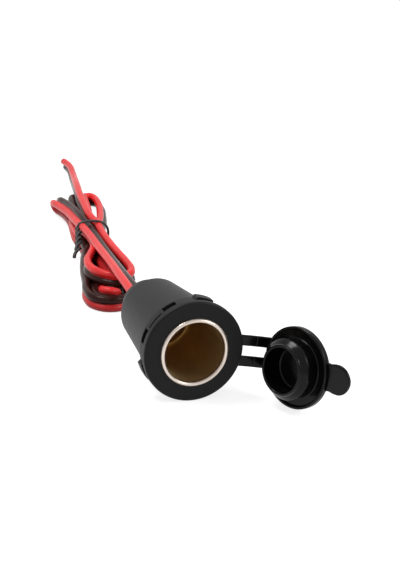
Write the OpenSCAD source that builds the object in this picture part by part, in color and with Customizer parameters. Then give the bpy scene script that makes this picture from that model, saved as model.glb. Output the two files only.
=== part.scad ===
// Panel power socket with a tethered rubber cap and a flat twin lead.
// The barrel's axis lies along Y, the mouth looks towards -Y, and the origin
// is the centre of the flange's front face. Angles round the barrel are
// counted from +X towards +Z.

/* [Flange] */
// Diameter of the flange
flange_d = 36; // [35:0.5:42]
// Thickness of the flange
flange_t = 2.7; // [2:0.1:4]
// Rounding of the flange's front edge
flange_round = 0.8; // [0.3:0.1:1.2]
// Chamfer of the flange's back edge
flange_chamfer = 0.4; // [0.2:0.1:0.8]

/* [Housing] */
// Diameter of the neck that the tether ring turns on
neck_d = 30.4; // [29.6:0.2:31]
// Length of the neck behind the flange
neck_l = 1.5; // [1.3:0.1:2.5]
// Diameter of the collar behind the neck
collar_d = 34; // [33:0.2:34.6]
// Length of the collar
collar_l = 3.8; // [3.2:0.1:6]
// Length of the slope from the collar down to the tube
collar_slope = 1.4; // [0.6:0.1:3]
// Diameter of the tube at its front
tube_front_d = 31.4; // [29:0.2:32]
// Diameter of the tube at its rear
tube_rear_d = 25; // [24.6:0.2:28]
// Distance from the flange's front to the tube's end
tube_end = 43; // [42:0.5:50]
// Chamfer of the tube's rear edge
tube_chamfer = 0.6; // [0.2:0.1:0.8]

/* [Snap features] */
// Angle of the first snap finger round the barrel
finger_angle = 140.4; // [130:0.2:150]
// Width of a snap finger
finger_w = 6.2; // [4:0.2:7]
// Height of a snap finger above the collar
finger_h = 0.6; // [0.3:0.1:0.9]
// Width of the slot on each side of a finger
slot_w = 5.1; // [3:0.1:6]
// Length of a slot along the barrel
slot_l = 3.2; // [2:0.1:3.4]
// Depth of a slot below the collar
slot_depth = 3.2; // [1:0.1:4]
// Angle from a finger to the fixed lugs beside it
lug_step = 67; // [60:1:75]
// Width of a fixed lug
lug_w = 6.2; // [4:0.2:8]
// Length of a fixed lug
lug_l = 5.4; // [3:0.2:7]
// Height of a fixed lug above the collar
lug_h = 1; // [0.5:0.1:1]
// Gap between the flange and a fixed lug, which a panel fills
lug_gap = 2.7; // [2:0.1:4]

/* [Barrel] */
// Inside diameter of the metal barrel
bore_d = 21.44; // [21:0.02:22]
// Length of the barrel's straight bore
bore_l = 33.5; // [30:0.5:35]
// Thickness of the barrel's metal
barrel_wall = 0.5; // [0.3:0.05:0.8]
// Outside diameter of the rolled lip
lip_d = 24.6; // [24:0.1:27]
// Height of the rolled lip above the flange
lip_h = 1.1; // [0.6:0.1:1.3]
// Inside diameter of the barrel's stepped rear
step_d = 20.4; // [19:0.1:21]
// Length of the barrel's stepped rear
step_l = 3.5; // [3:0.1:4.5]
// Clearance between the barrel and the housing
barrel_gap = 0.13; // [0.05:0.01:0.3]

/* [Contact] */
// Diameter of the centre contact's head
contact_d = 8; // [6:0.2:10]
// Height of the centre contact's head
contact_h = 1.6; // [1:0.1:1.9]
// Diameter of the centre contact's shank
shank_d = 3; // [2:0.1:3.6]
// Thickness of the inner insulating washer
inner_washer_t = 1.4; // [1:0.1:2]
// Thickness of the outer insulating washer
outer_washer_t = 0.8; // [0.5:0.1:1.2]
// Width of a terminal blade
blade_w = 4.8; // [3:0.1:6]
// Thickness of a terminal blade
blade_t = 0.8; // [0.5:0.1:1]
// Length of a terminal blade
blade_l = 4.6; // [3:0.1:5]

/* [Rear cover] */
// Diameter of the rear boss where it leaves the tube
boss_front_d = 20.4; // [18:0.2:22]
// Diameter of the rear boss at its end
boss_rear_d = 19; // [14:0.2:20]
// Length of the rear boss
boss_l = 8; // [7:0.5:12]
// Rounding of the rear boss's edge
boss_round = 1; // [0.4:0.1:1.5]
// Wall of the rear cover
cover_wall = 1.8; // [1.2:0.1:2.2]
// Length of the cover's spigot inside the tube
spigot_l = 4.6; // [3:0.1:4.6]
// Clearance between the spigot and the tube
spigot_gap = 0.15; // [0.05:0.01:0.3]
// Diameter of the grommet where it passes the cover
grommet_d = 8.4; // [7.2:0.2:10]
// Diameter of the grommet's outer flange
grommet_flange_d = 10.4; // [9:0.2:12]
// Thickness of the grommet's outer flange
grommet_flange_t = 1.2; // [0.8:0.1:2]

/* [Tether] */
// Thickness of the tether ring along the barrel
ring_t = 1.1; // [0.8:0.1:1.2]
// Width of the tether ring's band, measured outwards from the neck
ring_w = 2; // [1.6:0.1:2.4]
// Clearance between the ring and the neck
ring_gap = 0.2; // [0.1:0.05:0.3]
// Width of each strap
strap_w = 3.9; // [2:0.1:4]
// Gap between the two straps
strap_space = 3.7; // [2:0.1:5]
// Length of the roots on the ring that the straps leave
root_l = 0.8; // [0.5:0.1:1]
// Running gap between the straps and the pieces that they join
strap_gap = 0.1; // [0.05:0.01:0.2]
// Angle round the barrel at which the cap hangs
tether_angle = -6.5; // [-7:0.5:7]

/* [Cap] */
// Angle by which the cap stands open
cap_open = 112; // [110:1:125]
// Distance from the barrel's axis to the line that the cap turns about
hinge_out = 18.5; // [17:0.1:18.5]
// Distance from the flange's front to the line that the cap turns about
hinge_back = 1.9; // [1:0.1:2.4]
// Distance that the cap is pressed home after it has swung shut
press_travel = 4.5; // [4.4:0.1:5]
// Diameter of the cap's disc
disc_d = 28.6; // [27:0.2:30]
// Thickness of the cap's disc
disc_t = 1.7; // [1.2:0.1:2.5]
// Height of the raised rim on the disc's inner face
rim_h = 0.9; // [0.3:0.1:1]
// Width of the raised rim
rim_w = 1; // [0.6:0.1:1.4]
// Gap between the rolled lip and the disc when the cap is shut
shut_gap = 0.4; // [0.3:0.05:0.8]
// Diameter of the plug beside the disc
plug_d = 20.2; // [19:0.1:20.6]
// Diameter over the plug's bead
bead_d = 21.1; // [20.6:0.05:21.1]
// Distance from the disc to the middle of the bead
bead_at = 5; // [4.6:0.1:5.6]
// Half length of the bead along the plug
bead_half = 1.2; // [0.8:0.1:1.5]
// Diameter of the plug's open end
plug_end_d = 17.8; // [17:0.1:18.4]
// Length of the plug
plug_l = 7.8; // [7.2:0.1:8.2]
// Diameter of the hollow in the plug
hollow_d = 15.2; // [12:0.1:16]
// Length of the pull tab
tab_l = 9.2; // [6:0.2:14]
// Width of the pull tab
tab_w = 10.4; // [8:0.2:14]
// Thickness of the pull tab
tab_t = 1.3; // [0.9:0.1:1.6]
// Angle by which the pull tab is turned round the cap
tab_turn = 7; // [0:1:20]

/* [Cable] */
// Width of the flat twin cable
cable_w = 6.6; // [5:0.1:7.4]
// Thickness of the flat twin cable
cable_t = 3.3; // [2.5:0.1:3.7]
// Height of the tied hank
hank_h = 12; // [10:0.5:14]
// Length of the twist tie's tails
tie_tail_l = 9; // [5:0.5:14]

/* [Hidden] */
$fn = 96;

// One length by which every cut runs past what it cuts
over = 1;

// Radii and places that follow from the sizes above
flange_r = flange_d / 2;
neck_r = neck_d / 2;
collar_r = collar_d / 2;
bore_r = bore_d / 2;
barrel_r = bore_r + barrel_wall;
sleeve_r = barrel_r + barrel_gap;
step_r = step_d / 2;
neck_end = flange_t + neck_l;
collar_end = neck_end + collar_l;
shell_floor = bore_l + step_l;
shell_end = shell_floor + barrel_wall;

// Contact stack, from the bore back to the rear cover
washer_front = shell_floor - inner_washer_t;
hub_r = 4.4;
hub_gap = 0.1;
plate_front = shell_end + outer_washer_t;
plate_end = plate_front + blade_t;
clinch_r = 2.4;
clinch_t = 0.6;
plate_half = 2.7;
positive_blade_z = 2.6;
negative_blade_z = -5.6;
negative_plate_l = 2.4;
receptacle_wall = 0.5;
receptacle_gap = 0.1;
receptacle_start = 0.7;
crimp_l = 2;
crimp_r = 1.7;
lead_r = 1.2;
lead_gap = 0.05;
lead_entry = 2.3;
receptacle_end = plate_end + blade_l + receptacle_wall;

// Rear cover and grommet
boss_end = tube_end + boss_l;
spigot_r = sleeve_r - spigot_gap;
cover_inner_r = boss_rear_d / 2 - cover_wall;
spigot_front = tube_end - spigot_l;
cover_floor = boss_end - cover_wall;
grommet_r = grommet_d / 2;
grommet_gap = 0.1;
grommet_inner_l = 1;
grommet_front = cover_floor - grommet_inner_l;
cable_exit = boss_end + grommet_flange_t;

// Cap and tether, drawn shut and then swung open
disc_r = disc_d / 2;
shut_face = -lip_h - shut_gap;
out_face = shut_face - press_travel;
knuckle_r = disc_t / 2;
strap_mid = (strap_space + strap_w) / 2;
ring_front = flange_t + (neck_l - ring_t) / 2;
ring_mid = ring_front + ring_t / 2;
ring_inner_r = neck_r + ring_gap;
ring_r = ring_inner_r + ring_w;
strap_root = ring_r + root_l;
tab_corner = tab_w / 2;

// Twin cable, as heights above the surface that the socket rests on
floor_z = -flange_r;
cable_half_w = cable_w / 2;
cable_half_t = cable_t / 2;
tie_w = 2.4;
tie_t = 0.8;
tie_grip = 0.4;
tie_wire_r = 0.8;

// Route of the lead from the grommet to the tie, chosen by hand
lead_route = [
    [0, 60, 0], [1, 72, -0.4], [2.8, 88, -1.4], [5.2, 104, -3], [7.8, 122, -4.8],
    [10.2, 140, -6.2], [12.4, 158, -7], [13.6, 174, -7.4]
];
// Route of the free tail from the tie to its cut end, chosen by hand
tail_route = [
    [18.5, 184, -7.6], [21.2, 202, -7.2], [24.4, 220, -7], [28.6, 238, -8], [32.9, 255, -10.6],
    [36.9, 270, -13.4], [40.4, 285, -14.7], [42.8, 297, -14.7], [43.6, 304.5, -14.7], [43.4, 310, -14.7]
];
// Places of the hank's waist and of its two loops, chosen by hand
hank_waist = [17, 178];
hank_front = [8, 104];
hank_rear = [27, 230];
hank_waist_r = 7;
hank_front_r = 17;
hank_rear_r = 17;
tie_lean = 150;
tie_twist = 20;

// Lays a shape drawn along Z along the barrel, so that its top points to +Y
module along_barrel() {
    rotate([-90, 0, 0]) children();
}

// Turns a shape drawn on +X to an angle round the barrel
module at_angle(a) {
    rotate([0, -a, 0]) children();
}

// A ring, tube or disc turned about the barrel's axis from points [radius, y]
module turned(points) {
    along_barrel() rotate_extrude() polygon(points);
}

// A round bar on the barrel's axis from y0 to y1
module bar(r, y0, y1) {
    translate([0, y0, 0]) along_barrel() cylinder(r = r, h = y1 - y0);
}

// Points of a quarter round, from angle a0 to a1 about [x, y]
function arc(x, y, r, a0, a1, steps) =
    [for (i = [0:steps]) [
        x + r * cos(a0 + (a1 - a0) * i / steps),
        y + r * sin(a0 + (a1 - a0) * i / steps)
    ]];

// Housing: flange, neck, collar and tapering tube in one moulding
module housing_profile() {
    polygon(concat(
        [[sleeve_r, 0]],
        arc(flange_r - flange_round, flange_round, flange_round, -90, 0, 6),
        [
            [flange_r, flange_t - flange_chamfer],
            [flange_r - flange_chamfer, flange_t],
            [neck_r, flange_t],
            [neck_r, neck_end],
            [collar_r, neck_end],
            [collar_r, collar_end],
            [tube_front_d / 2, collar_end + collar_slope],
            [tube_rear_d / 2, tube_end - tube_chamfer],
            [tube_rear_d / 2 - tube_chamfer, tube_end],
            [sleeve_r, tube_end]
        ]
    ));
}

// A ring of the given section, kept only over a width at each of the angles
module lugs(angles, width, points) {
    intersection() {
        turned(points);
        for (a = angles)
            at_angle(a) translate([0, 0, -width / 2]) cube([flange_d, tube_end, width]);
    }
}

finger_angles = [finger_angle, finger_angle + 180];
lug_angles = [for (a = finger_angles, s = [-lug_step, lug_step]) a + s];
finger_rib = 0.9;
slot_step = asin(((finger_w + slot_w) / 2 + finger_rib) / collar_r);
slot_angles = [for (a = finger_angles, s = [-slot_step, slot_step]) a + s];
lug_front = flange_t + lug_gap;
lug_slope_share = 0.35;

module housing() {
    color("#2b2b2d") {
        difference() {
            along_barrel() rotate_extrude() housing_profile();
            for (a = slot_angles)
                at_angle(a)
                    translate([collar_r - slot_depth, neck_end, -slot_w / 2])
                        cube([slot_depth + over, slot_l, slot_w]);
        }
        lugs(finger_angles, finger_w, [
            [collar_r - finger_h, neck_end],
            [collar_r + finger_h, neck_end],
            [collar_r + finger_h, neck_end + collar_l * (1 - lug_slope_share)],
            [collar_r - finger_h, collar_end + collar_slope / 2]
        ]);
        lugs(lug_angles, lug_w, [
            [collar_r - lug_h, lug_front],
            [collar_r + lug_h, lug_front],
            [collar_r + lug_h, lug_front + lug_l * (1 - lug_slope_share)],
            [tube_front_d / 2 - lug_h, lug_front + lug_l]
        ]);
    }
}

// Metal barrel: rolled lip, straight bore, stepped rear and inturned floor
module socket_shell() {
    lip_r = lip_d / 2;
    lip_half = (lip_r - bore_r) / 2;
    color("#d8cdbc") turned(concat(
        [[bore_r, 0]],
        [for (i = [1:11]) [
            bore_r + lip_half - lip_half * cos(180 * i / 12),
            -lip_h * sin(180 * i / 12)
        ]],
        [
            [lip_r, 0],
            [barrel_r, 0],
            [barrel_r, bore_l + barrel_wall],
            [step_r + barrel_wall, bore_l + barrel_wall],
            [step_r + barrel_wall, shell_end],
            [hub_r + hub_gap, shell_end],
            [hub_r + hub_gap, shell_floor],
            [step_r, shell_floor],
            [step_r, bore_l],
            [bore_r, bore_l]
        ]
    ));
}

// Washer that holds the contact off the barrel's floor
module inner_washer() {
    color("#c9a36b") turned([
        [shank_d / 2, washer_front],
        [step_r - hub_gap, washer_front],
        [step_r - hub_gap, shell_floor],
        [hub_r, shell_floor],
        [hub_r, shell_end],
        [shank_d / 2, shell_end]
    ]);
}

// Washer between the barrel's floor and the positive terminal
module outer_washer() {
    color("#c9a36b") turned([
        [shank_d / 2, shell_end],
        [negative_foot_z - hub_gap, shell_end],
        [negative_foot_z - hub_gap, plate_front],
        [shank_d / 2, plate_front]
    ]);
}

// Domed contact, whose shank is clinched behind the positive terminal
module centre_contact() {
    head_r = contact_d / 2;
    dome_share = 0.3;
    color("#c8a24a") turned([
        [0, washer_front - contact_h],
        [head_r * (1 - dome_share), washer_front - contact_h],
        [head_r, washer_front - contact_h * dome_share],
        [head_r, washer_front],
        [shank_d / 2, washer_front],
        [shank_d / 2, plate_end],
        [clinch_r, plate_end],
        [clinch_r, plate_end + clinch_t * dome_share],
        [shank_d / 2, plate_end + clinch_t],
        [0, plate_end + clinch_t]
    ]);
}

negative_foot_z = -negative_blade_z - blade_t;

// Plate on the contact's shank with a blade bent to the rear
module positive_terminal() {
    color("#d6b65e") {
        difference() {
            translate([-plate_half, plate_front, -plate_half])
                cube([2 * plate_half, blade_t, plate_half + positive_blade_z + blade_t]);
            bar(shank_d / 2, plate_front - over, plate_end + over);
        }
        translate([-blade_w / 2, plate_end, positive_blade_z])
            cube([blade_w, blade_l, blade_t]);
    }
}

// Foot on the barrel's floor with a blade bent to the rear
module negative_terminal() {
    color("#d6b65e") {
        translate([-plate_half, shell_end, negative_blade_z + blade_t - negative_plate_l])
            cube([2 * plate_half, blade_t, negative_plate_l]);
        translate([-blade_w / 2, shell_end + blade_t, negative_blade_z])
            cube([blade_w, blade_l + outer_washer_t, blade_t]);
    }
}

// Push-on receptacle over a blade whose lower face is at height z
module receptacle(z) {
    wall = receptacle_wall;
    slot_half = blade_w / 2 + receptacle_gap;
    slot_t = blade_t + 2 * receptacle_gap;
    front = plate_end + receptacle_start;
    color("#c9c9c4") {
        difference() {
            translate([-slot_half - wall, front, z - receptacle_gap - wall])
                cube([2 * (slot_half + wall), receptacle_end - front, slot_t + 2 * wall]);
            translate([-slot_half, front - over, z - receptacle_gap])
                cube([2 * slot_half, plate_end + blade_l - front + over, slot_t]);
        }
        difference() {
            translate([0, 0, z + blade_t / 2])
                bar(crimp_r, receptacle_end, receptacle_end + crimp_l);
            translate([0, 0, z + blade_t / 2])
                bar(lead_r + lead_gap, receptacle_end, receptacle_end + crimp_l + over);
        }
    }
}

module positive_receptacle() {
    receptacle(positive_blade_z);
}

module negative_receptacle() {
    receptacle(negative_blade_z);
}

// Conductor from a crimp to the grommet, bent at one knee as it comes in
module inner_lead(z, to_z) {
    start = receptacle_end + lead_gap;
    knee = receptacle_end + crimp_l;
    run = grommet_front - knee;
    lean = atan((to_z - z) / run);
    translate([0, 0, z]) bar(lead_r, start, knee);
    translate([0, knee, z]) sphere(r = lead_r, $fn = 32);
    intersection() {
        translate([0, knee, z]) rotate([lean - 90, 0, 0]) cylinder(r = lead_r, h = 2 * run + boss_l);
        bar(cover_inner_r, knee, grommet_front);
    }
}

module red_inner_lead() {
    color("#c8202c") inner_lead(positive_blade_z + blade_t / 2, lead_entry);
}

module black_inner_lead() {
    color("#1c1c1e") inner_lead(negative_blade_z + blade_t / 2, -lead_entry);
}

// Rear cover: spigot in the tube and the tapered boss that the lead leaves
module rear_cover() {
    boss_r = boss_rear_d / 2;
    color("#303032") turned(concat(
        [
            [cover_inner_r, spigot_front],
            [spigot_r, spigot_front],
            [spigot_r, tube_end],
            [boss_front_d / 2, tube_end]
        ],
        arc(boss_r - boss_round, boss_end - boss_round, boss_round, 0, 90, 6),
        [
            [grommet_r + grommet_gap, boss_end],
            [grommet_r + grommet_gap, cover_floor],
            [cover_inner_r, cover_floor]
        ]
    ));
}

// Rubber grommet that closes round the lead
module cable_grommet() {
    flange_half_r = grommet_flange_d / 2;
    color("#161617") turned([
        [0, grommet_front],
        [grommet_r, grommet_front],
        [grommet_r, boss_end],
        [flange_half_r, boss_end],
        [flange_half_r - grommet_flange_t / 2, cable_exit],
        [0, cable_exit]
    ]);
}

// Flexible ring in the neck behind the flange, with the two strap roots
module tether_ring() {
    color("#1a1a1b") difference() {
        union() {
            bar(ring_r, ring_front, ring_front + ring_t);
            at_angle(tether_angle)
                for (s = [-1, 1])
                    translate([neck_r, ring_front, s * strap_mid - strap_w / 2])
                        cube([strap_root - neck_r, ring_t, strap_w]);
        }
        bar(ring_inner_r, ring_front - over, ring_front + ring_t + over);
    }
}

// Where a point of the shut cap goes when the cap swings open, as [out, y]
function opened(p) = let (u = p[0] - hinge_out, v = p[1] - hinge_back) [
    hinge_out + u * cos(cap_open) - v * sin(cap_open),
    hinge_back + u * sin(cap_open) + v * cos(cap_open)
];

// The two straps from the ring's roots to the cap's knuckles
module tether_straps() {
    knuckle = opened([disc_r, out_face - knuckle_r]);
    run_out = knuckle[0] - strap_root;
    run_back = knuckle[1] - ring_mid;
    lean = atan(run_back / run_out);
    long = norm([run_out, run_back]) - knuckle_r - 2 * strap_gap;
    color("#1a1a1b") at_angle(tether_angle)
        for (s = [-1, 1])
            translate([strap_root + strap_gap, ring_mid, s * strap_mid])
                rotate([0, 0, lean])
                    translate([0, -ring_t / 2, -strap_w / 2])
                        cube([long, ring_t, strap_w]);
}

// Swings what is drawn shut about the hinge line to where it stands open
module swung_open() {
    at_angle(tether_angle)
        translate([hinge_out, hinge_back, 0])
            rotate([0, 0, cap_open])
                translate([-hinge_out, -hinge_back, 0])
                    children();
}

// Cap: disc with a raised rim, hollow beaded plug, pull tab and two knuckles
module cap() {
    inner = out_face;
    outer = out_face - disc_t;
    end = out_face + plug_l;
    edge = disc_t / 4;
    lip = (plug_end_d - hollow_d) / 4;
    color("#151516") swung_open() {
        turned(concat(
            [
                [0, outer],
                [disc_r - edge, outer],
                [disc_r, outer + edge],
                [disc_r, inner + rim_h - edge],
                [disc_r - rim_w / 2, inner + rim_h],
                [disc_r - rim_w, inner + rim_h - edge],
                [disc_r - rim_w, inner],
                [plug_d / 2, inner],
                [plug_d / 2, inner + bead_at - bead_half],
                [bead_d / 2, inner + bead_at - bead_half / 3],
                [bead_d / 2, inner + bead_at + bead_half / 3],
                [plug_d / 2 - lip, inner + bead_at + bead_half],
                [plug_end_d / 2, end - lip],
                [plug_end_d / 2 - lip, end],
                [hollow_d / 2, end - lip],
                [hollow_d / 2, inner + lip],
                [hollow_d / 2 - lip, inner],
                [0, inner]
            ]
        ));
        translate([0, outer + (disc_t + tab_t) / 2, 0])
            rotate([90, tab_turn, 0]) linear_extrude(tab_t) {
                translate([-disc_r - tab_l + tab_corner, 0]) circle(tab_corner);
                translate([-disc_r - tab_l + tab_corner, -tab_corner])
                    square([tab_l + disc_r / 2, tab_w]);
            }
        for (s = [-1, 1])
            translate([disc_r, inner - knuckle_r, s * strap_mid - strap_w / 2])
                cylinder(r = knuckle_r, h = strap_w);
        for (s = [-1, 1])
            translate([disc_r - strap_w, outer, s * strap_mid - strap_w / 2])
                cube([strap_w, disc_t, strap_w]);
    }
}

// Direction at point i of a route
function heading(route, i) =
    let (a = route[max(i - 1, 0)], b = route[min(i + 1, len(route) - 1)])
    (b - a) / norm(b - a);

// Eight points of the flat cable's outline at point i of a route
function ring_at(route, i, first_flat) =
    let (
        d = first_flat && i == 0 ? [0, 1, 0] : heading(route, i),
        side = cross(d, [0, 0, 1]) / norm(cross(d, [0, 0, 1])),
        rise = cross(side, d)
    )
    [for (k = [0:7]) route[i]
        + side * cable_half_w * cos(45 * k + 22.5)
        + rise * cable_half_t * sin(45 * k + 22.5)];

// Flat cable swept along a route as one closed tube
module swept(route, first_flat = false) {
    rings = len(route);
    points = [for (i = [0:rings - 1]) each ring_at(route, i, first_flat)];
    sides = [for (i = [0:rings - 2], k = [0:7]) [
        8 * i + k, 8 * i + (k + 1) % 8, 8 * (i + 1) + (k + 1) % 8, 8 * (i + 1) + k
    ]];
    ends = [
        [for (k = [7:-1:0]) k],
        [for (k = [0:7]) 8 * (rings - 1) + k]
    ];
    polyhedron(points = points, faces = concat(sides, ends), convexity = 10);
}

module lead_run() {
    color("#c8202c") swept(concat([[0, cable_exit, 0]], lead_route), true);
}

module lead_tail() {
    color("#c8202c") swept(tail_route);
}

// One of the hank's two loops seen from above, drawn in to the waist
module hank_loop(centre, r) {
    hull() {
        translate(centre) circle(r, $fn = 32);
        translate(hank_waist) circle(hank_waist_r, $fn = 32);
    }
}

// Outline of the tied hank: two loops of wound cable that meet at the waist
module hank_outline() {
    hank_loop(hank_front, hank_front_r);
    hank_loop(hank_rear, hank_rear_r);
}

module lead_hank() {
    color("#b01e28") translate([0, 0, floor_z])
        linear_extrude(hank_h) hank_outline();
}

// Twist tie: a flat band round the hank's waist and two twisted tails
module twist_tie() {
    band_half = hank_waist_r + tie_t - tie_grip;
    color("#1b1b1d") translate([hank_waist[0], hank_waist[1], floor_z]) {
        difference() {
            translate([-band_half, -tie_w / 2, 0])
                cube([2 * band_half, tie_w, hank_h + tie_t]);
            translate([tie_t - band_half, -tie_w / 2 - over, tie_t])
                cube([2 * (band_half - tie_t), tie_w + 2 * over, hank_h - tie_t]);
        }
        translate([-band_half, -tie_w / 2, hank_h - 2 * tie_wire_r])
            rotate([0, -tie_lean, 0]) rotate([tie_twist, 0, 0])
                cylinder(r = tie_wire_r, h = tie_tail_l, $fn = 16);
    }
}

housing();
socket_shell();
inner_washer();
outer_washer();
centre_contact();
positive_terminal();
negative_terminal();
positive_receptacle();
negative_receptacle();
red_inner_lead();
black_inner_lead();
rear_cover();
cable_grommet();
tether_ring();
tether_straps();
cap();
lead_run();
lead_hank();
lead_tail();
twist_tie();
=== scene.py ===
# %% [markdown]
# A panel power socket stands on a pale table with its rubber cap hanging open and its
# flat twin lead tied into a hank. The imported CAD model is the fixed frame, in metres.
# The barrel's axis lies along Y, the mouth looks towards -Y and the origin is the
# centre of the flange's front face. Everything made below is placed in that frame.

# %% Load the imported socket
import math

import bpy
import numpy as np
from mathutils import Matrix, Vector


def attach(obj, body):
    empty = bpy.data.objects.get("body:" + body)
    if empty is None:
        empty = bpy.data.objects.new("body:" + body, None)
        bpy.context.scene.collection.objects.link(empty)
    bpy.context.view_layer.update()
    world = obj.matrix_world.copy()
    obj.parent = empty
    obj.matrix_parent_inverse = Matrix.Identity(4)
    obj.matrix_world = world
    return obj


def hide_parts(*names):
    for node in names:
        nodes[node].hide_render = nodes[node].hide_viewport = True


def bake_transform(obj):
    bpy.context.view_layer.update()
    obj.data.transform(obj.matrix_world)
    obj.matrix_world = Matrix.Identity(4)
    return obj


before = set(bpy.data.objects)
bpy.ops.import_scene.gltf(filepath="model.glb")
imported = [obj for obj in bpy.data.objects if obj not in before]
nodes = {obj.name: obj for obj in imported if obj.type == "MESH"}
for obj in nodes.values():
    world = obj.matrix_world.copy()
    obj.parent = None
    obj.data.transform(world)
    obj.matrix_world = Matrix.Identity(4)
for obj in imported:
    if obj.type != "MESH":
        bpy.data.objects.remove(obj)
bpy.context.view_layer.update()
MM = 0.001
TABLE_Z = -18 * MM

# %% [markdown]
# The camera repeats the photograph's view. Its focal length is 1500 pixels of the
# photograph, whose long side of 570 pixels falls on a sensor of 36 mm. It could be
# turned by eye towards the flange, but its three directions and its place, found by
# fitting the flange, the lip and the body, put each edge within a pixel or two.

# %% Camera at the photograph's viewing angle
FOCAL_PX = 1500
LONG_SIDE_PX = 570
SENSOR = 36
camera_right = np.array([0.9331, -0.3551, 0.0571])
camera_ahead = np.array([0.3541, 0.8790, -0.3194])
camera_place = np.array([-177.232, -441.236, 184.460]) * MM
camera_right /= np.linalg.norm(camera_right)
camera_up = np.cross(camera_right, camera_ahead)
camera_up /= np.linalg.norm(camera_up)
camera_ahead = np.cross(camera_up, camera_right)

camera_data = bpy.data.cameras.new("photo_camera")
camera_data.sensor_width = SENSOR
camera_data.lens = FOCAL_PX / LONG_SIDE_PX * SENSOR
camera_data.clip_start = 0.01
camera_data.clip_end = 20
camera = bpy.data.objects.new("photo_camera", camera_data)
bpy.context.scene.collection.objects.link(camera)
turn = np.column_stack([camera_right, camera_up, -camera_ahead])
camera.matrix_world = Matrix.Translation(camera_place) @ Matrix(turn.tolist()).to_4x4()
bpy.context.scene.camera = camera
print("camera lens", round(camera_data.lens, 2), "mm at", np.round(camera_place, 3))

# %% [markdown]
# Every new piece is a grid of points: rows of a profile that is carried along a path
# or round an axis. One helper turns such a grid into a mesh. It joins the last column
# to the first where the profile is closed, and closes the ends with a face each.
# Primitives with bevels could make some of the pieces too, but with a grid each shape
# is one formula, without a gap, and all its faces look outwards.

# %% From a grid of points to a mesh
def grid_faces(rows, columns, closed_rows=False):
    """Corner numbers of the squares between neighbours: point (i, j) of the grid has the
    number i * columns + j, and the columns wrap round."""
    last = rows if closed_rows else rows - 1
    i, j = np.meshgrid(np.arange(last), np.arange(columns), indexing="ij")
    i2, j2 = (i + 1) % rows, (j + 1) % columns
    corners = [i * columns + j, i * columns + j2, i2 * columns + j2, i2 * columns + j]
    return np.stack(corners, -1).reshape(-1, 4)


def add_mesh(name, points, faces, end_faces=()):
    """A smooth-shaded mesh object from an array of points and one of square faces."""
    points = np.asarray(points, float).reshape(-1, 3)
    mesh = bpy.data.meshes.new(name)
    every = faces.tolist() + [end.tolist() for end in end_faces]
    mesh.from_pydata(points.tolist(), [], every)
    mesh.polygons.foreach_set("use_smooth", np.ones(len(every), bool))
    mesh.update()
    piece = bpy.data.objects.new(name, mesh)
    bpy.context.scene.collection.objects.link(piece)
    return piece


def swept_piece(name, rings):
    """A closed tube from rings of points, one row a ring, with a flat face at each end."""
    rows, columns = rings.shape[:2]
    first = np.arange(columns)[::-1]
    last = (rows - 1) * columns + np.arange(columns)
    return add_mesh(name, rings, grid_faces(rows, columns), (first, last))


print("grid helpers ready")

# %% [markdown]
# A cord is given as a list of points, with the direction in which the red core lies beside the
# black one at each. A cubic curve runs through the points, with the slope at each taken from its
# neighbours, and is then cut into equal steps. A curve object would run as smoothly, but its twist
# is hard to steer, and flat cable shows every twist.

# %% A smooth line through given points
def distance_along(line):
    """The running sum of the distances from each point to the next, from zero."""
    steps = np.linalg.norm(np.diff(line, axis=0), axis=1)
    return np.concatenate([[0], np.cumsum(steps)])


def smooth_line(points, spacing):
    """Hermite cubic through the points. Each column of the array is carried along, and
    the first three are the place, by whose length the line is divided evenly."""
    points = np.asarray(points, float)
    along = distance_along(points[:, :3])
    slopes = np.gradient(points, along, axis=0)
    t = np.linspace(0, along[-1], 4000)
    i = np.clip(np.searchsorted(along, t, side="right") - 1, 0, len(points) - 2)
    h = (along[i + 1] - along[i])[:, None]
    u = (t - along[i])[:, None] / h
    fine = (
        (2 * u**3 - 3 * u**2 + 1) * points[i] + (u**3 - 2 * u**2 + u) * h * slopes[i]
        + (3 * u**2 - 2 * u**3) * points[i + 1] + (u**3 - u**2) * h * slopes[i + 1]
    )
    real = distance_along(fine[:, :3])
    even = np.linspace(0, real[-1], max(2, int(round(real[-1] / spacing)) + 1))
    return np.stack([np.interp(even, real, fine[:, c]) for c in range(points.shape[1])], 1)


def frames_along(line, lean):
    """Tangent, side and normal at each point: the side is the wanted direction less its
    part along the tangent, and the normal is square to both."""
    tangent = np.gradient(line, axis=0)
    tangent /= np.linalg.norm(tangent, axis=1, keepdims=True)
    side = lean - (lean * tangent).sum(1, keepdims=True) * tangent
    side /= np.linalg.norm(side, axis=1, keepdims=True)
    return tangent, side, np.cross(tangent, side)


print("line helpers ready")

# %% [markdown]
# The lead is a flat twin cable, a red and a black core side by side, 6.6 mm wide. It
# leaves the rear boss straight, reaches the tie, and then makes three turns: each
# runs to the rear, folds back, passes the tie, rounds the front and comes back to the
# tie. The last stretch is the free tail. Flat cable bends over its flat side, so it
# lies flat where it folds down and stands on edge where it turns along the table.

# %% The straight run to the tie
# x, y, z in millimetres, then the direction from the black core to the red one
LEAD_ROUTE = [
    [0, 52.2, 0, -1, 0, 0], [0, 60, 0, -1, 0, 0.1], [1, 72, -0.4, -0.95, 0, 0.3],
    [2.8, 88, -1.4, -0.9, 0, 0.4], [5.2, 104, -3, -0.9, 0, 0.45], [7.8, 122, -4.8, -0.9, 0, 0.45],
    [10.2, 140, -6.2, -0.9, 0, 0.4], [12.4, 158, -7, -0.95, 0, 0.3], [13.6, 174, -7.4, -1, 0, 0.1],
]
print("run to the tie:", len(LEAD_ROUTE), "points")

# %% [markdown]
# The first turn lies outermost. Behind the tie the lead folds down over its flat side,
# comes back along the table, swings round the front on edge with the red core
# underneath, and passes the tie again. A fold is given by points a millimetre apart.

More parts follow.
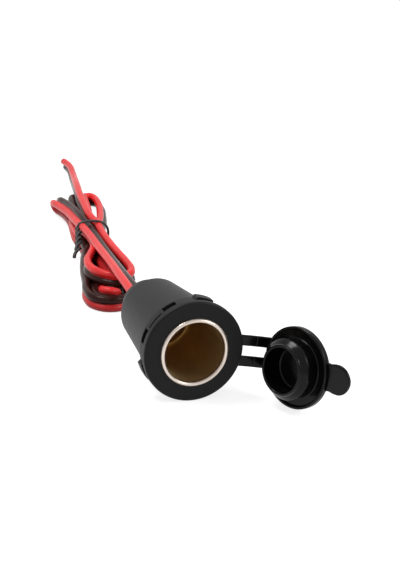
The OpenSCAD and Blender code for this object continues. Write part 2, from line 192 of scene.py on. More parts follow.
# %% First turn: the left loop and the outer turn
LEFT_LOOP = [
    [14, 183, -7.6, -0.9, 0, -0.3], [14.8, 194, -8.1, -0.8, 0, -0.6],
    [15.7, 206, -9, -0.8, 0, -0.6],
    [15.8, 217, -10, -0.8, 0, -0.5], [15.8, 227, -11.2, -0.9, 0, -0.4],
    [16.2, 229.4, -11.9, -0.95, 0, -0.3],
    [16.9, 230.6, -13.8, -1, 0, -0.1], [17.9, 229.6, -15.6, -1, 0, 0],
    [19, 226.6, -16.3, -1, 0, 0],
    [19.6, 219, -16.35, -1, 0, 0], [18.8, 208, -16.35, -1, 0, 0],
    [16, 194, -16.35, -1, 0, 0], [13.8, 182, -16.35, -1, 0, 0], [13.4, 173, -16.2, -1, 0, -0.1],
]
OUTER_TURN = [
    [11, 162, -14.9, -0.5, 0, -0.8], [5.6, 146.5, -14.7, 0.2, 0, -1],
    [0.8, 131, -14.7, 0.3, 0, -1],
    [-3.4, 115, -14.7, 0.1, 0, -1], [-6.2, 104, -14.7, 0, 0, -1], [-5.8, 96.6, -14.7, 0, 0, -1],
    [-2, 92.2, -14.7, 0, -0.1, -1], [2.8, 91.6, -14.7, 0, -0.1, -1],
    [7.8, 94.8, -14.7, 0, -0.1, -1],
    [10.8, 101, -14.7, 0, 0, -1], [12, 110, -14.7, 0, 0, -1], [12.6, 122, -14.7, 0, 0, -1],
    [14, 136, -14.7, 0, 0, -1], [16.4, 148, -14.8, -0.3, 0, -0.9],
    [17.8, 155, -15.4, -0.8, 0, -0.5], [18.9, 162, -16.2, -1, 0, -0.1],
    [20.2, 174, -16.35, -1, 0, 0],
]
print("first turn:", len(LEFT_LOOP) + len(OUTER_TURN), "points")

# %% [markdown]
# The second turn reaches furthest to the rear, where it stands on edge and doubles
# back. Its front part lies flat beside the first one and fills the space inside it.

# %% Second turn: the right loop and the middle turn
RIGHT_LOOP = [
    [20.6, 184, -16.3, -1, 0, 0.1], [23, 195, -15, -0.7, 0, 0.7], [26.2, 209, -14.7, 0, 0, 1],
    [29.4, 222, -14.7, 0, 0, 1], [31.6, 233, -14.7, 0, 0, 1], [33, 238.8, -14.7, 0, 0, 1],
    [33.8, 240.6, -14.7, 0, 0, 1], [35.4, 241.3, -14.7, 0, 0, 1], [37, 240.6, -14.7, -0.1, 0, 1],
    [37.7, 238.8, -14.6, -0.3, 0, 1], [37.2, 227, -14.5, -0.5, 0, 0.9],
    [34, 214, -14.4, -0.5, 0, 0.9], [30, 201, -14.3, -0.6, 0, 0.9],
    [25.4, 190, -13.8, -0.8, 0, 0.7],
    [21.6, 181, -13.2, -1, 0, 0.2], [20, 173, -13.2, -1, 0, 0.2],
]
MIDDLE_TURN = [
    [16.4, 162, -13.2, -1, 0, 0.1], [12.8, 150, -13.5, -1, 0, 0.1],
    [10.8, 136, -13.8, -0.7, 0, 0.6],
    [9.4, 122, -13.9, -0.6, 0, 0.7], [8.5, 111, -14.5, -0.8, 0, 0.4],
    [7.8, 104, -15.2, -0.8, 0.2, 0.4],
    [5.8, 99.3, -14.2, -0.3, 0.5, 0.6], [2.4, 98, -13.3, 0.1, 0.5, 0.8],
    [-0.5, 100, -13.3, 0.4, 0.4, 0.7],
    [-0.9, 104.8, -14, 0.8, 0.1, 0.4], [0.6, 111, -14.6, 1, 0, 0.1], [2.6, 121, -15, 1, 0, 0],
    [5.8, 132, -15.4, 1, 0, 0], [10.6, 147, -16.35, 1, 0, 0], [12.4, 160, -14.8, 1, 0, 0],
    [13.6, 173, -13.2, 1, 0, 0],
]
print("second turn:", len(RIGHT_LOOP) + len(MIDDLE_TURN), "points")

# %% [markdown]
# The third turn is hidden at the rear, between the other two, and comes out on top at
# the front. After the last pass through the tie the lead runs on as the free tail,
# which sinks to the table and lies there on edge.

# %% Third turn and the free tail
HIDDEN_LOOP = [
    [14.6, 183, -13.4, -1, 0, 0], [16.6, 196, -13.6, -0.9, 0, -0.2],
    [19.2, 210, -12.6, -0.4, 0, -0.8],
    [21.8, 222, -12, 0, 0, -1], [23.2, 228.2, -12, 0, 0, -1], [24, 230, -12, 0, 0, -1],
    [25.4, 230.8, -12, 0, 0, -1], [26.8, 230, -12, 0, 0, -1], [27.2, 228.2, -12, 0, 0, -1],
    [26, 218, -12, 0, 0, -1], [22.8, 205, -11.6, -0.4, 0, -0.8], [18.6, 193, -11, -0.9, 0, -0.2],
    [15.4, 183, -10.4, -1, 0, 0], [14.6, 174, -10.2, -1, 0, 0.1],
]
INNER_TURN = [
    [14.4, 164, -10.2, -0.95, 0, 0.3], [13, 154.6, -10.2, -0.8, 0, 0.5],
    [9.6, 145.6, -10.2, -0.4, 0, 0.9],
    [5.2, 137.4, -10.2, 0, 0, 1], [1.2, 128.6, -9.7, 0, 0, 1], [-0.8, 119.4, -9.5, 0.1, 0, 1],
    [0.4, 111.8, -9.4, 0.1, 0.1, 1], [4, 106.6, -9.4, 0, 0.2, 1], [8.4, 104.8, -9.4, 0, 0.2, 1],
    [12.4, 106.4, -9.4, -0.1, 0.1, 1], [14.8, 112, -9.4, 0, 0, 1], [15.8, 121, -9.3, 0, 0, 1],
    [16.2, 134, -9.2, 0, 0, 1], [16.8, 148, -9, 0, 0, 1], [17.8, 162, -8.8, 0.1, 0, 1],
    [18.8, 174, -8.2, 0.3, 0, 1],
]
TAIL_ROUTE = [
    [18.5, 184, -7.6, 0.4, 0, 1], [21.2, 202, -7.2, 0.2, 0, 1], [24.4, 220, -7, 0.1, 0, 1],
    [28.6, 238, -8, 0, 0, 1], [32.9, 255, -10.6, 0, 0, 1], [36.9, 270, -13.4, 0, 0, 1],
    [40.4, 285, -14.7, 0, 0, 1], [42.8, 297, -14.7, -0.1, 0, 1],
    [43.6, 304.5, -14.7, -0.3, 0, 0.95],
    [43.4, 310, -14.7, -0.4, 0, 0.9],
]
print("third turn and tail:", len(HIDDEN_LOOP) + len(INNER_TURN) + len(TAIL_ROUTE), "points")

# %% [markdown]
# All stretches are joined end to end and smoothed as one line, so that the slope runs
# on through each joint. The rings of the cable are cut from it every 2.2 mm.

# %% One line for the whole lead
RING_SPACING = 2.2
whole_route = np.array(
    LEAD_ROUTE + LEFT_LOOP + OUTER_TURN + RIGHT_LOOP
    + MIDDLE_TURN + HIDDEN_LOOP + INNER_TURN + TAIL_ROUTE,
    float,
)
laid = smooth_line(whole_route, RING_SPACING)
lead_line, lead_lean = laid[:, :3], laid[:, 3:]

# %% [markdown]
# The section of the cable is two round cores joined by a thin web, drawn as one
# outline. It is carried along the route as rings. The faces of one half are red
# insulation and those of the other half black, as two materials on one tube. Two round
# wires side by side would do from afar, but they would part wherever the lead turns.

# %% Section of the cable and the tube along the route
CORE_R = 1.65
WEB_HALF = 0.6
CORE_POINTS = 15
web_angle = math.asin(WEB_HALF / CORE_R)
sweep = np.linspace(2 * math.pi - web_angle, web_angle, CORE_POINTS)
red_half = np.stack([CORE_R + CORE_R * -np.cos(sweep), CORE_R * np.sin(sweep)], 1)
black_half = -red_half
outline = np.concatenate([red_half, black_half])
tangent, side, normal = frames_along(lead_line, lead_lean)
rings = (
    lead_line[:, None]
    + side[:, None] * outline[None, :, :1]
    + normal[:, None] * outline[None, :, 1:]
)
twin_lead = swept_piece("twin_lead", rings * MM)
around = len(outline)
face_column = np.tile(np.arange(around), len(lead_line) - 1)
is_black = (face_column >= len(red_half)).astype(int)
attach(twin_lead, "socket")
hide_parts("lead_run", "lead_hank", "lead_tail")
print("twin lead faces:", len(twin_lead.data.polygons))

# %% [markdown]
# The free end is cut square, so the copper of both cores shows there as two small
# round faces. Flat discs could stand for them. Here each is a shallow dome turned
# about the core's own line, because cut strands never end quite level.

# %% Copper at the cut end
def turned_piece(name, profile, origin, axis, steps):
    """A profile of radius and height turned about an axis through the origin: a point is
    the origin, plus the radius times a turning direction, plus the height along the axis."""
    axis = np.asarray(axis, float) / np.linalg.norm(axis)
    across = np.cross(axis, [0.0, 0.0, 1.0] if abs(axis[2]) < 0.9 else [1.0, 0.0, 0.0])
    across /= np.linalg.norm(across)
    third = np.cross(axis, across)
    a = np.linspace(0, 2 * math.pi, steps, endpoint=False)
    circle = np.cos(a)[:, None] * across + np.sin(a)[:, None] * third
    profile = np.asarray(profile, float)
    rings = (
        np.asarray(origin, float)
        + profile[:, None, :1] * circle[None]
        + profile[:, None, 1:] * axis[None, None]
    )
    return swept_piece(name, rings * MM)


dome = [[1.0, -0.6], [1.0, 0.02], [0.75, 0.14], [0.35, 0.19], [0.02, 0.2]]
copper_ends = []
for label, shift in (("red_core_end", CORE_R), ("black_core_end", -CORE_R)):
    end = turned_piece(label, dome, lead_line[-1] + side[-1] * shift, tangent[-1], 20)
    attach(end, "socket")
    copper_ends.append(end)
print("copper ends:", len(copper_ends))

# %% [markdown]
# A black twist tie is drawn round the waist of the hank. Its line is a superellipse,
# an oval with squarer corners, and it is squarer still on the side that the strands
# push outwards. A flat oval section is carried round that line. A torus squashed to
# fit would be too round, and would lose its even thickness.

# %% Band of the twist tie
def tube_along(name, line, half_wide, half_thick, lean, closed=False, steps=10):
    """An oval section carried along a line, with its wide side turned to the lean."""
    if closed:
        tangent = np.roll(line, -1, 0) - np.roll(line, 1, 0)
        tangent /= np.linalg.norm(tangent, axis=1, keepdims=True)
        side = lean - (lean * tangent).sum(1, keepdims=True) * tangent
        side /= np.linalg.norm(side, axis=1, keepdims=True)
        normal = np.cross(tangent, side)
    else:
        tangent, side, normal = frames_along(line, lean)
    a = np.linspace(0, 2 * math.pi, steps, endpoint=False)
    rings = (
        line[:, None]
        + half_wide * np.cos(a)[None, :, None] * side[:, None]
        + half_thick * np.sin(a)[None, :, None] * normal[:, None]
    )
    if closed:
        return add_mesh(name, rings * MM, grid_faces(len(line), steps, True))
    return swept_piece(name, rings * MM)


BAND_STEPS = 72
t = np.linspace(0, 2 * math.pi, BAND_STEPS, endpoint=False)
rounding = np.where((np.sin(t) > 0) & (np.cos(t) > 0), 0.8, 0.55)
band_x = 16.7 + 7.1 * np.sign(np.cos(t)) * np.abs(np.cos(t)) ** rounding
band_z = -11.1 + 6.4 * np.sign(np.sin(t)) * np.abs(np.sin(t)) ** rounding
band_y = 172.2 + 0.12 * (16.7 - band_x)
band_line = np.stack([band_x, band_y, band_z], 1)
band_lean = np.tile([0.0, 1.0, 0.0], (BAND_STEPS, 1))
tie_band = tube_along("tie_band", band_line, 1.0, 0.5, band_lean, closed=True)
print("tie band", len(tie_band.data.vertices), "points")

# %% [markdown]
# The two ends of the tie hang from a knot beside the bundle. Each follows the same
# curved line at a small distance, half a turn apart, so they look wound on each other,
# and the distance grows towards the tips, where the ends part.

# %% Wound tails of the tie
TURNS = 2.6
SHORT_TAIL = 48
wound = np.linspace(0, 1, 60)[:, None]
knot = np.array([10.0, 172.0, -7.6])
hang = knot + wound * np.array([-1.0, -7.5, -7.6]) + wound**2 * np.array([-3.4, -6.5, -1.0])
spin = wound * TURNS * 2 * math.pi
open_out = 0.85 + 1.2 * np.clip(wound - 0.72, 0, 1) ** 1.2 * 2
turn_a, turn_b = np.array([0.8, -0.6, 0.0]), np.array([0.4, 0.5, 0.76])
tie_tails = []
for label, phase in (("tie_tail_long", 0.0), ("tie_tail_short", math.pi)):
    line = hang + open_out * (np.cos(spin + phase) * turn_a + np.sin(spin + phase) * turn_b)
    line = line if phase == 0 else line[:SHORT_TAIL]
    lean = np.tile([1.0, 0.0, 0.3], (len(line), 1))
    tie_tails.append(tube_along(label, line, 0.8, 0.5, lean, steps=8))
for piece in [tie_band] + tie_tails:
    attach(piece, "socket")
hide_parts("twist_tie")
print("tie tails:", [len(tail.data.vertices) for tail in tie_tails], "points")

# %% [markdown]

# %% [markdown]
# The cap is one rubber moulding. It is worked out as it stands when shut, with its
# disc in front of the mouth, and then swung about the hinge line to where it hangs
# open in the photograph. That way the same shape fits the barrel when it is closed.

# %% From shut to open
HINGE = (18.5, 1.9)
OPEN_BY = math.radians(112)
TETHER_TURN = math.radians(6.5)
DISC_FACE = -6.0


def turned_about_barrel(points):
    """Turns points about the barrel's axis to the angle at which the cap hangs."""
    x, y, z = np.moveaxis(np.asarray(points, float), -1, 0)
    c, s = math.cos(TETHER_TURN), math.sin(TETHER_TURN)
    return np.stack([x * c + z * s, y, z * c - x * s], -1)


def swung_open(points):
    """Turns points about the hinge line by the opening angle, then about the barrel."""
    x, y, z = np.moveaxis(np.asarray(points, float), -1, 0)
    c, s = math.cos(OPEN_BY), math.sin(OPEN_BY)
    u, v = x - HINGE[0], y - HINGE[1]
    swung = np.stack([HINGE[0] + u * c - v * s, HINGE[1] + u * s + v * c, z], -1)
    return turned_about_barrel(swung)


print("cap opens by", round(math.degrees(OPEN_BY)), "degrees")

# %% [markdown]
# The disc with its raised rim and the hollow plug with its bead are one shape turned
# about the cap's axis. The profile is a short list of corners, each with the radius of
# its rounding, so that light runs softly over every edge as it does on rubber. Solid
# discs joined and bevelled could give it too, but with seams to clean up.

# %% A profile with rounded corners
def rounded_profile(corners, steps=5):
    """Each corner is x, y and a radius: a circle touches both sides there, so the
    tangent length is the radius over the tangent of half the corner's angle."""
    corners = np.asarray(corners, float)
    points = [corners[0, :2]]
    for before, here, after in zip(corners[:-2], corners[1:-1], corners[2:]):
        p, r = here[:2], here[2]
        a = (before[:2] - p) / np.linalg.norm(before[:2] - p)
        b = (after[:2] - p) / np.linalg.norm(after[:2] - p)
        half = math.acos(max(-1, min(1, float(a @ b)))) / 2
        if r <= 0 or half > 1.55:
            points.append(p)
            continue
        centre = p + (a + b) / np.linalg.norm(a + b) * r / math.sin(half)
        start = p + a * r / math.tan(half) - centre
        end = p + b * r / math.tan(half) - centre
        share = np.linspace(0, 1, steps + 1)[:, None]
        arc = start * (1 - share) + end * share
        points.extend(centre + arc / np.linalg.norm(arc, axis=1, keepdims=True) * r)
    points.append(corners[-1, :2])
    return np.array(points)


square = rounded_profile([[0, 0, 0], [3, 0, 1], [3, 3, 0]])
print("a square corner of radius 1 becomes", len(square), "points")

# %% [markdown]
# The profile starts at the middle of the disc's outer face, goes round the rim and up
# the plug's outside with its groove, bead and lead-in, and comes down inside the
# hollow to the middle again. It stops a hair from the axis, so each pole is a small
# flat face and not a bundle of needles.

# %% Disc and plug of the cap
cap_profile = rounded_profile([
    [0.02, -1.7, 0], [14.3, -1.7, 0.7], [14.3, 0.9, 0.45], [13.3, 0.9, 0.4], [13.1, 0, 0.3],
    [10.1, 0, 0.5], [10.1, 3.6, 0.8], [10.55, 4.5, 0.5], [10.55, 5.4, 0.5], [9.7, 6.3, 0.8],
    [8.9, 7.0, 0.5], [8.7, 7.8, 0.35], [7.75, 7.8, 0.35], [7.55, 0.0, 0.7], [0.02, 0.0, 0],
])
CAP_STEPS = 144
a = np.linspace(0, 2 * math.pi, CAP_STEPS, endpoint=False)
cap_rings = np.stack([
    cap_profile[:, :1] * np.cos(a),
    DISC_FACE + cap_profile[:, 1:] + 0 * a,
    cap_profile[:, :1] * np.sin(a),
], -1)
rubber_cap = swept_piece("rubber_cap", swung_open(cap_rings)[::-1] * MM)
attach(rubber_cap, "cap")
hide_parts("cap")
print("cap:", len(cap_profile), "profile points")

# %% [markdown]
# The pull tab is a tongue on the side of the disc away from the hinge. Its section is
# a flat oval with square shoulders, and its width follows a half circle at the tip. It
# could be cut from a plate, but a row of ovals rounds the edge and the tip at once.
# The rows lie closer together towards the tip, where the outline turns fastest.

# %% Pull tab
TAB_TURN = math.radians(7)
TAB_R = 5.2
TIP_CENTRE = 18.3
round_the_tip = TIP_CENTRE + TAB_R * np.sin(np.linspace(0.08, 1.56, 26))
reach = np.concatenate([np.linspace(12.6, TIP_CENTRE, 10), round_the_tip])
beyond = np.clip(reach - TIP_CENTRE, 0, TAB_R) / TAB_R
half_width = TAB_R * np.sqrt(np.clip(1 - beyond**2, 1e-4, 1))
half_width *= 1 - 0.08 * np.exp(-((reach - 14.8) / 1.4) ** 2)
t = np.linspace(0, 2 * math.pi, 40, endpoint=False)
across = half_width[:, None] * np.sign(np.cos(t)) * np.abs(np.cos(t)) ** 0.35
thick = 0.65 * np.sign(np.sin(t)) * np.abs(np.sin(t)) ** 0.55
thick = thick * np.clip(half_width[:, None] / 0.9, 0.25, 1)
tab_rings = np.stack([
    across * math.sin(TAB_TURN) - reach[:, None] * math.cos(TAB_TURN),
    DISC_FACE - 0.85 + thick,
    across * math.cos(TAB_TURN) + reach[:, None] * math.sin(TAB_TURN),
], -1)
pull_tab = swept_piece("pull_tab", swung_open(tab_rings) * MM)
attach(pull_tab, "cap")
print("tab reaches", round(float(reach[-1]), 1), "mm from the cap's axis")

# %% [markdown]
# Two straps join the cap to the ring behind the flange. Rubber bends anywhere, and each strap is
# made in two halves: the inner half from the ring to the straps' middle, the outer half from there
# to the cap. One stiff bar a side would tear away from the disc as soon as the cap swings.

# %% Shape of a pair of straps
STRAP_MID = 3.8
ROOT = np.array([18.0, 3.45])
KNUCKLE = np.array([29.1, 1.15])


def strap_pair(name, first, last):
    """Two bars with a rounded section, from one share of the way to another."""
    share = np.linspace(first, last, 18)
    out = ROOT[0] + share * (KNUCKLE[0] - ROOT[0])
    back = ROOT[1] + share * (KNUCKLE[1] - ROOT[1]) + 0.25 * np.sin(share * math.pi)
    t = np.linspace(2 * math.pi, 0, 28, endpoint=False)
    wide = 1.95 * np.sign(np.cos(t)) * np.abs(np.cos(t)) ** 0.35
    deep = 0.56 * np.sign(np.sin(t)) * np.abs(np.sin(t)) ** 0.6
    both, faces, ends, start = [], [], [], 0
    for middle in (-STRAP_MID, STRAP_MID):
        height = middle + wide + 0 * out[:, None]
        rings = np.stack([out[:, None] + 0 * t, back[:, None] + deep, height], -1)
        both.append(turned_about_barrel(rings).reshape(-1, 3))
        faces.append(grid_faces(len(out), len(t)) + start)
        round_once = np.arange(len(t)) + start
        ends += [round_once[::-1], (len(out) - 1) * len(t) + round_once]
        start += len(out) * len(t)
    return add_mesh(name, np.concatenate(both) * MM, np.concatenate(faces), ends)


print("strap bars from", ROOT, "to", KNUCKLE, "mm")

# %% [markdown]

# %% Both halves of the straps
inner_straps = strap_pair("strap_halves_inner", 0, 0.5)
outer_straps = strap_pair("strap_halves_outer", 0.5, 1)
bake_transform(inner_straps)
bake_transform(outer_straps)
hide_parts("tether_straps")
print("straps span", round(float(np.linalg.norm(KNUCKLE - ROOT)), 1), "mm")

# %% [markdown]
# A finish is built from nodes. Soft noise on the piece's own coordinates moves the
# colour between two tones and the roughness between two values, and a finer noise
# is the grain, as bump. What is the same all over is set on the shader itself. A flat
# colour would look drawn, and a picture would have to be wrapped round each piece.

# %% A finish from nodes
def finish(name, dark, light, rough, patches=300, grain=2500, bump=0.1, metallic=0.0, gloss=0.5):
    """A principled material. Soft noise of the scale "patches" mixes the dark tone with
    the light one and the lower roughness with the higher, and fine noise of the scale
    "grain" is a bump a tenth of a millimetre high."""
    material = bpy.data.materials.new(name)
    material.use_nodes = True
    tree = material.node_tree
    shader = tree.nodes["Principled BSDF"]
    shader.inputs["Metallic"].default_value = metallic
    shader.inputs["Specular IOR Level"].default_value = gloss
    place = tree.nodes.new("ShaderNodeTexCoord")
    soft = tree.nodes.new("ShaderNodeTexNoise")
    soft.inputs["Scale"].default_value = patches
    soft.inputs["Detail"].default_value = 4
    tones = tree.nodes.new("ShaderNodeValToRGB")
    tones.color_ramp.elements[0].position = 0.3
    tones.color_ramp.elements[0].color = (*dark, 1)
    tones.color_ramp.elements[1].position = 0.7
    tones.color_ramp.elements[1].color = (*light, 1)
    spread = tree.nodes.new("ShaderNodeMapRange")
    spread.inputs["To Min"].default_value, spread.inputs["To Max"].default_value = rough
    fine = tree.nodes.new("ShaderNodeTexNoise")
    fine.inputs["Scale"].default_value = grain
    fine.inputs["Detail"].default_value = 3
    raised = tree.nodes.new("ShaderNodeBump")
    raised.inputs["Strength"].default_value = bump
    raised.inputs["Distance"].default_value = 0.1 * MM
    link = tree.links.new
    link(place.outputs["Object"], soft.inputs["Vector"])
    link(place.outputs["Object"], fine.inputs["Vector"])
    link(soft.outputs["Fac"], tones.inputs["Fac"])
    link(tones.outputs["Color"], shader.inputs["Base Color"])
    link(soft.outputs["Fac"], spread.inputs["Value"])
    link(spread.outputs["Result"], shader.inputs["Roughness"])
    link(fine.outputs["Fac"], raised.inputs["Height"])
    link(raised.outputs["Normal"], shader.inputs["Normal"])
    return material


print("finish helper ready")

# %% [markdown]
# A piece from the CAD model comes with a plain stand-in finish, so its slots are
# emptied before the real one goes in.

# %% Dressing a piece
def dress(piece, *materials):
    """Puts these materials in the piece's slots in place of what it came with."""
    piece.data.materials.clear()
    for material in materials:
        piece.data.materials.append(material)


print("CAD pieces to dress:", len(nodes))

# %% [markdown]
# The body is satin moulded plastic with a fine even grain. The cover behind it is a
# little smoother. Neither is a pure black: a real black plastic gives back one or two
# hundredths of the light, and the gloss on top of it does the rest.

# %% Black plastics
moulded_black = finish("moulded black plastic", (0.015, 0.015, 0.0155), (0.02, 0.02, 0.021),
                       rough=(0.42, 0.55), grain=3500, bump=0.3, gloss=0.19)
cover_black = finish("satin black cover", (0.010, 0.010, 0.010), (0.016, 0.016, 0.016),
                     rough=(0.38, 0.5), grain=3000, bump=0.2, gloss=0.4)
tie_black = finish("black tie plastic", (0.010, 0.009, 0.009), (0.02, 0.018, 0.018),
                   rough=(0.4, 0.55), grain=1800, bump=0.2)
dress(nodes["housing"], moulded_black)
dress(nodes["rear_cover"], cover_black)
for piece in [tie_band] + tie_tails:
    dress(piece, tie_black)
print("plastics:", moulded_black.name, cover_black.name, tie_black.name)

# %% [markdown]
# The cap, its straps and its ring are one soft rubber, deeper and shinier than the
# body, so its highlights are narrow. The grommet is a duller rubber.

# %% Rubbers
rubber_black = finish("black rubber", (0.002, 0.002, 0.002), (0.004, 0.004, 0.004),
                      rough=(0.14, 0.2), grain=2200, bump=0.03, gloss=0.16)
grommet_black = finish("soft grommet rubber", (0.006, 0.006, 0.006), (0.011, 0.011, 0.011),
                       rough=(0.5, 0.65), grain=2600, bump=0.2, gloss=0.3)
dress(nodes["cable_grommet"], grommet_black)
for node in ("tether_ring", "tether_straps", "cap"):
    dress(nodes[node], rubber_black)
for piece in (rubber_cap, pull_tab, inner_straps, outer_straps):
    dress(piece, rubber_black)
print("rubbers:", rubber_black.name, grommet_black.name)

# %% [markdown]
# The lead's insulation is soft PVC with a silky skin. Black PVC next to red looks warm, because it
# gives back some of the red, and that reflected red is painted into its tone as a very dark brown.
# The one tube of the lead takes both materials, the red half first.

# %% Insulation of the lead
red_pvc = finish("red insulation", (0.78, 0.022, 0.024), (0.92, 0.042, 0.042),
                 rough=(0.34, 0.44), patches=160, grain=1400, bump=0.12, gloss=0.3)
# painted reflection: the red given back by the strands is in this dark brown tone
black_pvc = finish("black insulation", (0.028, 0.008, 0.006), (0.042, 0.013, 0.010),
                   rough=(0.22, 0.3), patches=160, grain=1400, bump=0.08, gloss=0.11)
dress(nodes["red_inner_lead"], red_pvc)
dress(nodes["black_inner_lead"], black_pvc)
dress(twin_lead, red_pvc, black_pvc)
twin_lead.data.polygons.foreach_set("material_index", np.append(is_black, [1, 1]))
print("black faces on the lead:", int(is_black.sum()) + 2)

# %% [markdown]
# The contact and the terminals are brass, the push-on receptacles are tinned steel,
# and the cores end in drawn copper. The washers that keep the contact off the barrel
# are pressed fibre, matt and a little patchy.

# %% Metals and fibre
brass = finish("brass contact", (0.4, 0.26, 0.1), (0.55, 0.37, 0.16),
               rough=(0.38, 0.5), patches=700, grain=3500, bump=0.08, metallic=1.0)
tinned = finish("tinned steel", (0.55, 0.55, 0.53), (0.72, 0.72, 0.7),
                rough=(0.25, 0.4), patches=900, grain=3500, bump=0.08, metallic=1.0)
copper = finish("drawn copper", (0.55, 0.2, 0.09), (0.78, 0.34, 0.17),
                rough=(0.3, 0.45), patches=2500, grain=6000, bump=0.5, metallic=1.0)
fibre_board = finish("fibre washer", (0.24, 0.12, 0.05), (0.38, 0.21, 0.09),
                     rough=(0.7, 0.85), patches=900, grain=2600, bump=0.6)
for node in ("centre_contact", "positive_terminal", "negative_terminal"):
    dress(nodes[node], brass)
for node in ("positive_receptacle", "negative_receptacle"):
    dress(nodes[node], tinned)
for node in ("inner_washer", "outer_washer"):
    dress(nodes[node], fibre_board)
for piece in copper_ends:
    dress(piece, copper)
print("finishes so far:", len(bpy.data.materials))

# %% [markdown]
# Some finishes get painted shade along the piece. A ramp on one coordinate of the piece, which
# runs from 0 to 1 between two places, chooses between one tone and another.

# %% Painted shade that changes along a piece
def painted_shade_along(material, axis, start, stop, tone, least=0.0):
    """Mixes a tone before the start with the finish's own tone beyond the stop, both in
    mm. The least is the own tone's share at the start. Returns the ramp's output."""
    tree = material.node_tree
    shader = tree.nodes["Principled BSDF"]
    place = next(n for n in tree.nodes if n.type == "TEX_COORD")
    own_tone = next(n for n in tree.nodes if n.type == "VALTORGB")
    parts = tree.nodes.new("ShaderNodeSeparateXYZ")
    ramp = tree.nodes.new("ShaderNodeMapRange")
    ramp.inputs["From Min"].default_value = start * MM
    ramp.inputs["From Max"].default_value = stop * MM
    ramp.inputs["To Min"].default_value = least
    mixed = tree.nodes.new("ShaderNodeMix")
    mixed.data_type = "RGBA"
    mixed.inputs[6].default_value = (*tone, 1)
    tree.links.new(own_tone.outputs["Color"], mixed.inputs[7])
    tree.links.new(place.outputs["Object"], parts.inputs["Vector"])
    tree.links.new(parts.outputs[axis], ramp.inputs["Value"])
    tree.links.new(ramp.outputs["Result"], mixed.inputs[0])
    tree.links.new(mixed.outputs[2], shader.inputs["Base Color"])
    return ramp.outputs["Result"]


print("tone helper ready")

# %% [markdown]
# The red insulation is painted a deeper red low down, as painted shade where the lead lies on the
# table among its own turns, and the flange's face is painted a deeper black than the tube behind
# it, as painted shade. The lead's painted shade follows the height, Z, and the housing's the depth
# behind the face, Y.

# %% Painted shade: deeper red near the table, deeper black on the flange's face
# painted shade: the red insulation is darker low down, near the table
painted_shade_along(red_pvc, "Z", -17.5, -13.5, (0.1, 0.002, 0.003), least=0.3)
# painted shade: the flange's face is darker than the tube behind it
painted_shade_along(moulded_black, "Y", 1.0, 2.6, (0.004, 0.004, 0.004))
print("red insulation nodes:", len(red_pvc.node_tree.nodes))

# %% [markdown]
# The barrel is plated steel. Its rolled lip is polished and bright, while the bore behind it is
# duller, where plugs have rubbed, and is painted a darker, warmer tone as painted shade of the
# deep barrel. The depth into the barrel, its Y coordinate, chooses between the two tones. The map
# that gives the roughness reads the same depth here, in place of the noise. Two materials would do
# as well, but would meet in a hard line where the lip curls in.

# %% Finish of the metal barrel
barrel_metal = finish("plated barrel", (0.61, 0.45, 0.225), (0.61, 0.45, 0.225),
                      rough=(0.3, 0.48), patches=500, bump=0.03, metallic=1.0)
# painted shade: the bore behind the lip takes a darker, warmer tone than the lip
depth = painted_shade_along(barrel_metal, "Y", -0.2, 0.6, (0.66, 0.575, 0.51))
tree = barrel_metal.node_tree
dull = tree.nodes["Principled BSDF"].inputs["Roughness"].links[0].from_node
tree.links.new(depth, dull.inputs["Value"])
dress(nodes["socket_shell"], barrel_metal)
print("barrel finish nodes:", len(tree.nodes))

# %% [markdown]
# The picture's background is white, and so is what shiny pieces reflect, but light of
# that strength would wash out the black ones. So the table and the world answer two
# kinds of rays differently: this value is 1 for rays that look and 0 for rays that
# light. Making the picture's background see-through would do, but reflections would
# then lose the white room round them.

# %% Rays that look
def sees_background(tree):
    """The greatest of three switches, for camera, glossy and transmission rays."""
    path = tree.nodes.new("ShaderNodeLightPath")
    first = tree.nodes.new("ShaderNodeMath")
    second = tree.nodes.new("ShaderNodeMath")
    first.operation = second.operation = "MAXIMUM"
    tree.links.new(path.outputs["Is Camera Ray"], first.inputs[0])
    tree.links.new(path.outputs["Is Glossy Ray"], first.inputs[1])
    tree.links.new(first.outputs[0], second.inputs[0])
    tree.links.new(path.outputs["Is Transmission Ray"], second.inputs[1])
    return second.outputs[0]


print("ray test ready")

# %% [markdown]
# The table is a plain pale plane, seen as nearly white, and the object's own shadow
# stays on it. Its diffuse part is a middle grey, so it throws little light up at the
# black pieces. A shadow catcher would keep the shadow too, but the table would be gone.

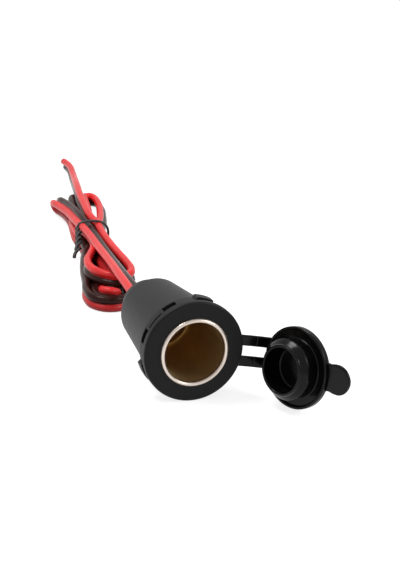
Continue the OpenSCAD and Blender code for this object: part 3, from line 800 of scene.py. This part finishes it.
# %% Table
TABLE_HALF = 6.0  # metres
table_corners = np.array([[-1, -1, 0], [1, -1, 0], [1, 1, 0], [-1, 1, 0]]) * TABLE_HALF
table = add_mesh("table", table_corners + [0, 0, TABLE_Z], np.array([[0, 1, 2, 3]]))
table_paint = bpy.data.materials.new("pale table")
table_paint.use_nodes = True
tree = table_paint.node_tree
tree.nodes.clear()
matt = tree.nodes.new("ShaderNodeBsdfDiffuse")
matt.inputs["Color"].default_value = (0.45, 0.45, 0.45, 1)
lift = tree.nodes.new("ShaderNodeEmission")
lift.inputs["Color"].default_value = (1, 1, 1, 1)
scaled = tree.nodes.new("ShaderNodeMath")
scaled.operation = "MULTIPLY"
scaled.inputs[1].default_value = 0.8
both = tree.nodes.new("ShaderNodeAddShader")
out = tree.nodes.new("ShaderNodeOutputMaterial")
tree.links.new(sees_background(tree), scaled.inputs[0])
tree.links.new(scaled.outputs[0], lift.inputs["Strength"])
tree.links.new(matt.outputs[0], both.inputs[0])
tree.links.new(lift.outputs[0], both.inputs[1])
tree.links.new(both.outputs[0], out.inputs["Surface"])
dress(table, table_paint)
print("table at", TABLE_Z, "m")

# %% [markdown]
# The world lights the object softly from all sides, at less than half the strength
# with which the camera and reflections see it as a white background. A picture of a
# studio could light it too, but this needs no file and throws no strange reflections.

# %% World
world = bpy.data.worlds.new("studio")
bpy.context.scene.world = world
world.use_nodes = True
tree = world.node_tree
tree.nodes.clear()
room = tree.nodes.new("ShaderNodeBackground")
room.inputs["Color"].default_value = (1, 1, 1, 1)
room.inputs["Strength"].default_value = 0.45
white = tree.nodes.new("ShaderNodeBackground")
white.inputs["Strength"].default_value = 1.0
choose = tree.nodes.new("ShaderNodeMixShader")
out = tree.nodes.new("ShaderNodeOutputWorld")
tree.links.new(sees_background(tree), choose.inputs["Fac"])
tree.links.new(room.outputs[0], choose.inputs[1])
tree.links.new(white.outputs[0], choose.inputs[2])
tree.links.new(choose.outputs[0], out.inputs["Surface"])
print("world strength for light:", room.inputs["Strength"].default_value)

# %% [markdown]
# Two square lamps stand in for a studio's soft boxes. The first is above and behind,
# over the lead. The second is low at the right and in front, and gives the rubber cap
# its second highlight. Colours go to the picture as they are, with no film curve.

# %% Two soft boxes
def soft_box(name, place, target, size, power):
    """A square lamp at a place that looks at a target."""
    lamp = bpy.data.lights.new(name, "AREA")
    lamp.size, lamp.energy = size, power
    box = bpy.data.objects.new(name, lamp)
    bpy.context.scene.collection.objects.link(box)
    look = (Vector(target) - Vector(place)).to_track_quat("-Z", "Y")
    box.matrix_world = Matrix.Translation(place) @ look.to_matrix().to_4x4()
    return box


soft_box("key_box", (-0.3, 0.2, 0.75), (0.0, 0.08, 0.0), 0.3, 3.8)
soft_box("side_box", (0.6, -0.37, 0.48), (0.02, 0.0, 0.0), 0.28, 2.5)
bpy.context.scene.view_settings.view_transform = "Standard"
print("lamps:", len(bpy.data.lights))
